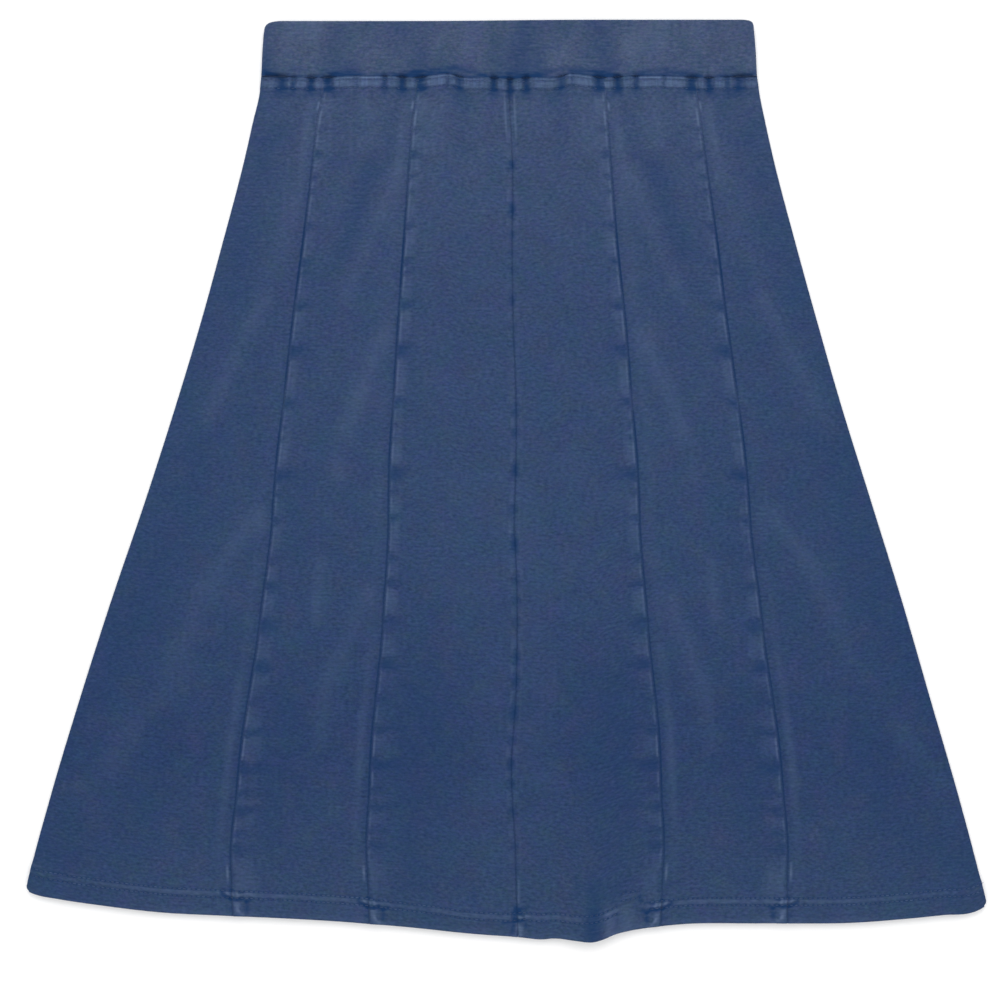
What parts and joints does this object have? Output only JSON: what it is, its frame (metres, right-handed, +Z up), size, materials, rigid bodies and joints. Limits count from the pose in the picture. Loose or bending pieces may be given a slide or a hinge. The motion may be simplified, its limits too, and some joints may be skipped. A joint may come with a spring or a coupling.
{
  "type": "denim skirt",
  "caption": "Pull-on A-line denim skirt laid flat: a wide elastic waistband, flared panels joined by long vertical seams, gathers under the band and a turned-up hem.",
  "frame": {"origin": "on the surface that the skirt lies on, under the middle of its outline", "axes": "+Y towards the waist, +X across to the right of the front as seen from above, +Z up out of the front"},
  "size_m": [0.6005, 0.5756, 0.0104],
  "materials": {
    "waistband_denim": "washed blue stretch denim, matt, slightly faded, firm over elastic",
    "front_denim": "washed blue stretch denim, matt, fine cross streaks, paler on its ridges",
    "back_denim": "washed blue stretch denim, matt, fine cross streaks"
  },
  "bodies": {
    "root": {"waistband": "waistband_denim", "front_gore_1": "front_denim", "front_gore_2": "front_denim", "front_gore_3": "front_denim", "front_gore_4": "front_denim", "front_gore_5": "front_denim", "front_gore_6": "front_denim", "back_gore_1": "back_denim", "back_gore_2": "back_denim", "back_gore_3": "back_denim", "back_gore_4": "back_denim", "back_gore_5": "back_denim", "back_gore_6": "back_denim"}
  },
  "joints": []
}
